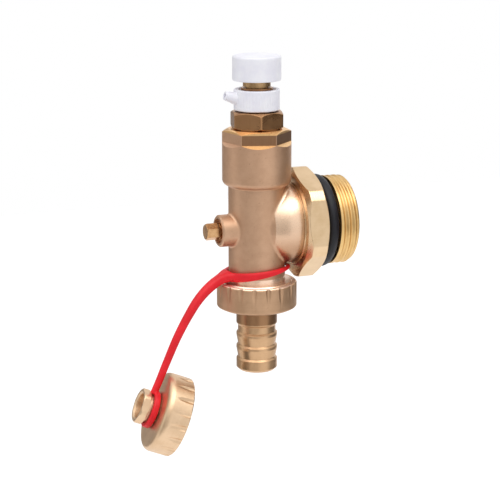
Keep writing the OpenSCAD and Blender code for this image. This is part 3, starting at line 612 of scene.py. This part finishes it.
def fluteRadius(turn, firstTurn, depth):
    # a round cutter on a circle outside the rim leaves an arc: r = C cos d - sqrt(rc^2 - C^2 sin^2 d)
    step = 2 * math.pi / flutes["count"]
    off = (turn - math.radians(firstTurn) + step / 2) % step - step / 2
    centre = flutes["rim"] + flutes["cutter"] - depth
    under = flutes["cutter"] ** 2 - (centre * np.sin(off)) ** 2
    return np.where(under > 0, centre * np.cos(off) - np.sqrt(np.clip(under, 0, None)), 99.0)


def nutCut(height, radius, turn):
    # full depth at the open top, running out half way down
    deep = np.clip((height + 26.8) / 5.0, 0, 1)
    left = fluteRadius(turn, flutes["nutTurn"], flutes["depth"] * 1.05 * deep ** 0.8 + 1e-3)
    return np.where(radius > 13.6, softMin(radius, left, 0.1), radius), np.zeros_like(radius)


nutOutline = rounded([
    (-31.1, 7.7), (-31.1, 13.3, 0.5), (-30.3, 14.9, 0.6), (-21.5, 14.9, 0.2), (-21.0, 14.4, 0.2),
    (-21.0, 13.25, 0.15), (-29.6, 13.25), (-29.6, 7.7)])
addPiece("flutedNut", turned("flutedNut", finer(nutOutline, 0.4, 14.0), upBarrel, 720, nutCut), "nut", "nut",
         "nut_brass", "drain_nut")

tail = {"bore": 5.0, "foot": -55.1, "crest": 7.65, "valley": 7.05, "barbs": (-50.15, -45.15, -40.15)}


def tailOutline(t):
    # from the foot up: a plain end, then for each barb a slow cone, a land and a steep shoulder
    corners = [(t["foot"], t["bore"], 0.2), (t["foot"], 6.75, 0.15), (-54.2, t["crest"], 0.25)]
    for k, top in enumerate(t["barbs"]):
        if k:
            corners.append((top - 4.9, t["valley"], 0.12))
        corners += [(top - 1.6, t["crest"], 0.3), (top - 0.7, t["crest"], 0.18), (top - 0.02, t["valley"], 0.12)]
    return corners + [(-37.75, t["valley"], 0.3), (-37.05, t["crest"], 0.2), (-29.5, t["crest"]), (-29.5, 11.9),
                      (-27.4, 11.9, 0.15), (-27.4, t["bore"])]


addPiece("hoseTail", turned("hoseTail", finer(rounded(tailOutline(tail)), 0.4, 6.9), upBarrel, 240), "tail", "tail",
         "tail_brass", "hose_tail")


def capCut(height, radius, turn):
    # flutes from the open rim towards the face, the head of the key stub and the key's hexagon in it
    deep = np.clip((-3.2 - height) / 4.0, 0, 1)
    left = fluteRadius(turn, flutes["capTurn"], flutes["depth"] * 1.1 * deep ** 0.8 + 1e-3)
    cut = np.where(radius > 13.6, softMin(radius, left, 0.1), radius)
    head = (height > 3.89) & (radius > 5.6)
    cut = np.where(head, softMin(radius, hexagonRadius(turn, 11.9, 20.0), 0.15), cut)
    socket = (height > 0.79) & (height < 3.61) & (radius < 3.6) & (radius > 0.1)
    return np.where(socket, hexagonRadius(turn, 5.7, 0.0), cut), np.where(socket, 1.0, 0.0)


capOutline = rounded([
    (-2.2, 0.0), (-2.2, 13.25), (-9.6, 13.25, 0.15), (-9.6, 14.5, 0.15), (-9.2, 14.9, 0.15), (0.0, 14.9, 2.2),
    (0.0, 5.2, 0.15), (3.9, 5.2), (3.9, 6.2, 0.1), (4.2, 6.5, 0.2), (6.3, 6.5, 0.2), (6.7, 6.1, 0.2),
    (6.7, 5.2, 0.15), (6.2, 4.6, 0.1), (3.6, 4.3), (3.6, 3.2, 0.1), (0.8, 3.2), (0.8, 0.0)])
addPiece("keyCap", turned("keyCap", finer(capOutline, 0.4, 14.0), alongCap, 720, capCut), "cap", "cap", "cap_brass",
         "drain_cap")
print("nut, tail and cap dressed")


# Strap: ring, tongue and eye are swept apart, then skinned as one moulding

strap = {
    "barrelRing": {"middle": 11.65, "width": 1.7, "z": -18.6, "rise": 3.2, "bend": 1.3, "highSide": -40.0,
                   "height": 2.3, "grow": 1.3},
    "turn": 7.0, "from": (11.8, -17.5), "to": (42.761, -58.866), "root": 5.0, "rootReach": 2.4,
    "shape": ((0, 0), (0.0775, 0.022), (0.1615, 0.0514), (0.2422, 0.0881), (0.3165, 0.1321), (0.3843, 0.1811),
              (0.4457, 0.2349), (0.5039, 0.2961), (0.5652, 0.3646), (0.6298, 0.4429), (0.6912, 0.5237),
              (0.7493, 0.6093), (0.8042, 0.695), (0.8559, 0.7757), (0.9011, 0.8491), (0.9431, 0.9152),
              (0.977, 0.9653), (1, 1)),
    "wide": (4.8, 2.6), "thick": (4.0, 2.6), "taper": 1.8, "grid": 0.21, "melt": 4,
}


def section(angle, wide, thick, square=2.4):
    # a rounded bar: cosine and sine raised to 2 / square keep their signs
    c, s = np.cos(angle), np.sin(angle)
    return (wide / 2 * np.sign(c) * np.abs(c) ** (2 / square), thick / 2 * np.sign(s) * np.abs(s) ** (2 / square))


def swept(name, points, closedRows, placing):
    # points is an array of rows by columns by 3; open tubes get a point in the middle of each end
    rows, columns = points.shape[:2]
    flatPoints = points.reshape(-1, 3)
    faces = gridFaces(rows, columns, closedRows).tolist()
    if not closedRows:
        flatPoints = np.concatenate([flatPoints, points[:1].mean(1), points[-1:].mean(1)])
        first, last = rows * columns, rows * columns + 1
        faces += [[first, (j + 1) % columns, j] for j in range(columns)]
        faces += [[last, (rows - 1) * columns + j, (rows - 1) * columns + (j + 1) % columns] for j in range(columns)]
    mesh = bpy.data.meshes.new(name)
    mesh.from_pydata(((flatPoints @ placing[:3, :3].T + placing[:3, 3]) * mm).tolist(), [], faces)
    tidy(mesh, turnOut=True)
    return mesh


def strapRing(s):
    # the ring's middle is highest at highSide: z + rise * ((1 + cos(turn - highSide)) / 2) ** bend
    around, side = np.meshgrid(np.arange(240) * math.pi / 120, np.arange(32) * math.pi / 16, indexing="ij")
    r = s["barrelRing"]
    height = r["height"] - r["grow"] * np.cos(around - math.radians(strap["turn"]))
    out, up = section(side, r["width"], height)
    z = r["z"] + r["rise"] * (0.5 + 0.5 * np.cos(around - math.radians(r["highSide"]))) ** r["bend"] + up
    radius = r["middle"] + out
    return swept("strapRing", np.stack([radius * np.cos(around), radius * np.sin(around), z], -1), True, upBarrel)


def strapTongue(s):
    # a cubic through the route's points carries a bar that narrows and thins towards the eye; at its root it is
    # wider and wraps round the ring by R - sqrt(R * R - y * y)
    start, span = np.array(s["from"]), np.array(s["to"]) - np.array(s["from"])
    knots = start + np.array(s["shape"]) * span
    t, fine = np.arange(len(knots)), np.linspace(0, len(knots) - 1, 171)
    slope = np.gradient(knots, axis=0)
    k = np.clip(fine.astype(int), 0, len(knots) - 2)
    u = (fine - k)[:, None]
    route = ((2 * u**3 - 3 * u**2 + 1) * knots[k] + (u**3 - 2 * u**2 + u) * slope[k]
             + (3 * u**2 - 2 * u**3) * knots[k + 1] + (u**3 - u**2) * slope[k + 1])
    along = np.gradient(route, axis=0)
    along /= np.linalg.norm(along, axis=1)[:, None]
    thin = 1 - (1 - fine / t[-1]) ** s["taper"]
    run = np.concatenate([[0], np.cumsum(np.linalg.norm(np.diff(route, axis=0), axis=1))])
    root = np.exp(-((run / s["rootReach"]) ** 2))
    side = np.linspace(0, 2 * math.pi, 33)[:-1]
    wide = s["wide"][0] + (s["wide"][1] - s["wide"][0]) * thin + s["root"] * root
    thick = s["thick"][0] + (s["thick"][1] - s["thick"][0]) * thin
    across, up = section(side[None, :], wide[:, None], thick[:, None])
    reach = s["from"][0]
    x = along[:, 1:] * up - route[:, :1] + root[:, None] * (reach - np.sqrt(reach**2 - across**2))
    z = route[:, 1:] + along[:, :1] * up
    return swept("strapTongue", np.stack([x, across + 0 * x, z], -1), False, upBarrel @ turnZ(s["turn"]))


def skinned(name, grid, melt, *meshes):
    # one skin over shells that overlap: a grid of cubes is laid over them and smoothed
    whole = joined(name + "Parts", *meshes)
    rough = bpy.data.objects.new(name + "Rough", whole)
    bpy.context.scene.collection.objects.link(rough)
    remesh = rough.modifiers.new("skin", "REMESH")
    remesh.mode, remesh.voxel_size, remesh.use_smooth_shade = "VOXEL", grid * mm, True
    smooth = rough.modifiers.new("melt", "SMOOTH")
    smooth.factor, smooth.iterations = 0.5, melt
    made = bpy.data.meshes.new_from_object(rough.evaluated_get(bpy.context.evaluated_depsgraph_get()))
    made.name = name
    bpy.data.objects.remove(rough)
    made.polygons.foreach_set("use_smooth", np.ones(len(made.polygons), bool))
    return made


eyeOutline = rounded([(0.5, 5.5, 0.5), (0.5, 7.15, 0.6), (2.85, 7.15, 0.6), (2.85, 5.5, 0.5)])
strapMesh = skinned("redStrap", strap["grid"], strap["melt"], strapRing(strap), strapTongue(strap),
                    turned("strapEye", finer(eyeOutline, 0.3), alongCap, 120))
addPiece("redStrap", strapMesh, "tether", "red", "red_strap", "strap")
print("strap dressed")


# Cast body: the frame's solid keeps its shape, and fillets fill the corners that a casting never leaves sharp

body = {
    "barrel": 10.5, "domeX": 11.4, "dome": 14.5, "domeFillet": 1.5, "boss": 5.95, "bossZ": -1.1, "bossFillet": 1.0,
    "housingZ": 17.5, "housingRound": 2.2, "housingFillet": 0.7,
}


def filletStrip(name, centres, touchA, touchB, steps=10, sink=0.012):
    # a ball that rolls along the corner leaves the arc from one touch to the other; the back lies in the metal
    a, b = touchA - centres, touchB - centres
    size = np.linalg.norm(a, axis=1)[:, None]
    ua, ub = a / size, b / np.linalg.norm(b, axis=1)[:, None]
    opening = np.arccos(np.clip((ua * ub).sum(1), -1, 1))[:, None]
    rows = [centres + (size + (sink if k in (0, steps) else 0.0))
            * (np.sin((1 - k / steps) * opening) * ua + np.sin(k / steps * opening) * ub) / np.sin(opening)
            for k in range(steps + 1)]
    back = centres + (a + b) * (1 / np.cos(opening / 2)) / (2 * np.cos(opening / 2)) * 1.12
    return swept(name, np.stack(rows + [back], 1), True, upBarrel)


def domeFillet(c):
    # centres at barrel + fillet from the barrel's axis and at dome + fillet from the dome's centre
    f, t = c["domeFillet"], np.linspace(0, 2 * math.pi, 361)[:-1]
    farBarrel, farDome = c["barrel"] + f, c["dome"] + f
    highest = math.sqrt(2 * c["domeX"] * farBarrel - farBarrel**2 - c["domeX"] ** 2 + farDome**2)
    z = highest * np.sin(t)
    x = (farBarrel**2 + c["domeX"] ** 2 - farDome**2 + z * z) / (2 * c["domeX"])
    y = np.sign(np.cos(t)) * np.sqrt(np.clip(farBarrel**2 - x * x, 0, None))
    centres = np.stack([x, y, z], 1)
    onBarrel = centres * np.array([c["barrel"] / farBarrel, c["barrel"] / farBarrel, 1.0])
    middle = np.array([c["domeX"], 0, 0])
    return filletStrip("domeFillet", centres, onBarrel, middle + (centres - middle) * c["dome"] / farDome)


def bossFillet(c):
    f, t = c["bossFillet"], np.linspace(0, 2 * math.pi, 181)[:-1]
    farBoss, farBarrel = c["boss"] + f, c["barrel"] + f
    y, up = farBoss * np.sin(t), farBoss * np.cos(t)
    centres = np.stack([-np.sqrt(farBarrel**2 - y * y), y, c["bossZ"] + up], 1)
    onBarrel = centres * np.array([c["barrel"] / farBarrel, c["barrel"] / farBarrel, 1.0])
    onBoss = np.stack([centres[:, 0], y * c["boss"] / farBoss, c["bossZ"] + up * c["boss"] / farBoss], 1)
    return filletStrip("bossFillet", centres, onBarrel, onBoss)


def housingFillet(c):
    f, t = c["housingFillet"], np.linspace(0, 2 * math.pi, 181)[:-1]
    drop = math.sqrt((c["housingRound"] + f) ** 2 - f**2)
    share = c["housingRound"] / (c["housingRound"] + f)
    ring = np.stack([np.cos(t), np.sin(t), 0 * t], 1)
    up = np.array([0, 0, 1.0])
    centres = ring * (c["barrel"] + f) + up * (c["housingZ"] - drop)
    return filletStrip("housingFillet", centres, ring * c["barrel"] + up * (c["housingZ"] - drop),
                       ring * (c["barrel"] + f * share) + up * (c["housingZ"] - drop * share))


for makeFillet in (domeFillet, bossFillet, housingFillet):
    mesh = makeFillet(body)
    addPiece(makeFillet.__name__, mesh, "valve", "cast", "cast_brass")

keptNodes = {
    "valve_body": "cast", "drain_spindle": "spindle", "vent_stem": "stem", "seat_retainer": "retainer", "ball": "ball",
    "lower_seat": "seat", "upper_seat": "seat", "thrust_washer": "seat", "spindle_seals": "rubber",
    "swivel_seal": "rubber", "retaining_ring": "steel", "vent_body_seal": "rubber", "vent_washer": "rubber",
    "collar_seals": "rubber", "tail_gasket": "rubber", "cap_gasket": "rubber",
}
for name, finish in keptNodes.items():
    for part in [nodes[name], *nodes[name].children_recursive]:
        for holder in part.material_slots:
            holder.material = finishes[finish]
print("frame nodes dressed:", len(keptNodes))


# Room: a pale floor far below, a white world behind, soft lamps, and boards and a softbox that only gloss sees

room = {
    "floorZ": -650, "floorSize": 6000, "grey": 0.7, "keyWatts": 8.5, "topWatts": 3.2,
}


def addFloor(c):
    finish = Finish("paleFloor")
    rays = finish.add("LightPath", None, None, "Is Camera Ray")
    glossy = Wire(finish, rays.socket.node.outputs["Is Glossy Ray"])
    through = Wire(finish, rays.socket.node.outputs["Is Transmission Ray"])
    seen = rays.sum("MAXIMUM", rays, rays.sum("MAXIMUM", glossy, through))
    tone = finish.noise(400, 2, 0.5)
    paint = finish.add("BsdfPrincipled", None, {"Base Color": finish.mix(tone, (236, 236, 238), (243, 243, 244)),
                                                "Roughness": 0.8})
    glow = finish.add("Emission", None, {"Color": (1.0, 1.0, 1.0, 1.0), "Strength": seen * 0.45})
    both = finish.add("AddShader", None, {0: paint, 1: glow})
    end = finish.tree.nodes.new("ShaderNodeOutputMaterial")
    finish.tree.links.new(both.socket, end.inputs[0])
    half, z = c["floorSize"] / 2 * mm, c["floorZ"] * mm
    mesh = bpy.data.meshes.new("floor")
    mesh.from_pydata([(-half, -half, z), (half, -half, z), (half, half, z), (-half, half, z)], [], [(0, 1, 2, 3)])
    mesh.materials.append(finish.material)
    floor = bpy.data.objects.new("floor", mesh)
    bpy.context.scene.collection.objects.link(floor)


def addWorld(c):
    world = bpy.data.worlds.new("studio")
    bpy.context.scene.world = world
    world.use_nodes = True
    tree = world.node_tree
    back = tree.nodes["Background"]
    rays = tree.nodes.new("ShaderNodeLightPath")
    either = tree.nodes.new("ShaderNodeMath")
    either.operation = "MAXIMUM"
    tree.links.new(rays.outputs["Is Camera Ray"], either.inputs[0])
    tree.links.new(rays.outputs["Is Transmission Ray"], either.inputs[1])
    gloss = tree.nodes.new("ShaderNodeMath")
    gloss.operation = "MAXIMUM"
    tree.links.new(either.outputs[0], gloss.inputs[0])
    tree.links.new(rays.outputs["Is Glossy Ray"], gloss.inputs[1])
    level = tree.nodes.new("ShaderNodeMapRange")
    tree.links.new(gloss.outputs[0], level.inputs[0])
    level.inputs[3].default_value, level.inputs[4].default_value = c["grey"], 1.0
    back.inputs["Color"].default_value = (1, 1, 1, 1)
    tree.links.new(level.outputs[0], back.inputs["Strength"])


def facing(angle, elevation, far):
    # a place at a compass angle from the camera's side, and the turn that looks from there at the part
    a, e = math.radians(camera["azimuth"] + angle), math.radians(elevation)
    away = Vector((math.sin(a) * math.cos(e), -math.cos(a) * math.cos(e), math.sin(e)))
    return Vector(camera["aim"]) * mm + away * far, away.to_track_quat("Z", "Y")


def addLamp(name, angle, elevation, far, size, watts):
    data = bpy.data.lights.new(name, "AREA")
    data.shape, data.size, data.size_y, data.energy = "RECTANGLE", size[0], size[1], watts
    lamp = bpy.data.objects.new(name, data)
    lamp.location, turn = facing(angle, elevation, far)
    lamp.rotation_mode = "QUATERNION"
    lamp.rotation_quaternion = turn
    bpy.context.scene.collection.objects.link(lamp)


def addBoard(name, angle, elevation, far, size, shade, glow=0.0):
    # a board that only the part's gloss sees; with a glow it is the bright face of a softbox
    finish = Finish(name)
    tone = finish.noise(300, 2, 0.5)
    finish.shade(Base_Color=finish.mix(tone, shade, tuple(v + 6 for v in shade)), Roughness=0.9,
                 Specular_IOR_Level=0.0, Emission_Color=(1.0, 1.0, 1.0, 1.0), Emission_Strength=glow)
    w, h = size[0] / 2, size[1] / 2
    mesh = bpy.data.meshes.new(name)
    place, turn = facing(angle, elevation, far)
    corners = [place + turn @ Vector(v) for v in ((-w, -h, 0), (w, -h, 0), (w, h, 0), (-w, h, 0))]
    mesh.from_pydata(corners, [], [(0, 1, 2, 3)])
    mesh.materials.append(finish.material)
    board = bpy.data.objects.new(name, mesh)
    bpy.context.scene.collection.objects.link(board)
    board.visible_camera = board.visible_diffuse = board.visible_shadow = False


addFloor(room)
addWorld(room)
addLamp("keyLamp", -12, 62, 1.7, (1.9, 1.1), room["keyWatts"])
addLamp("topLamp", 55, 58, 1.6, (0.8, 0.7), room["topWatts"])
addBoard("frontBoard", -4, -3, 1.4, (0.9, 1.6), (212, 209, 206))
addBoard("frontLeftBoard", -48, -3, 1.4, (1.1, 1.6), (190, 187, 184))
addBoard("rightBoard", 104, -3, 1.4, (2.0, 1.6), (112, 108, 104))
addBoard("leftBoard", -135, -6, 1.3, (2.0, 1.6), (186, 182, 178))
addBoard("softbox", -14, 70, 1.5, (2.0, 1.3), (230, 230, 230), 2.0)
print("room lit")
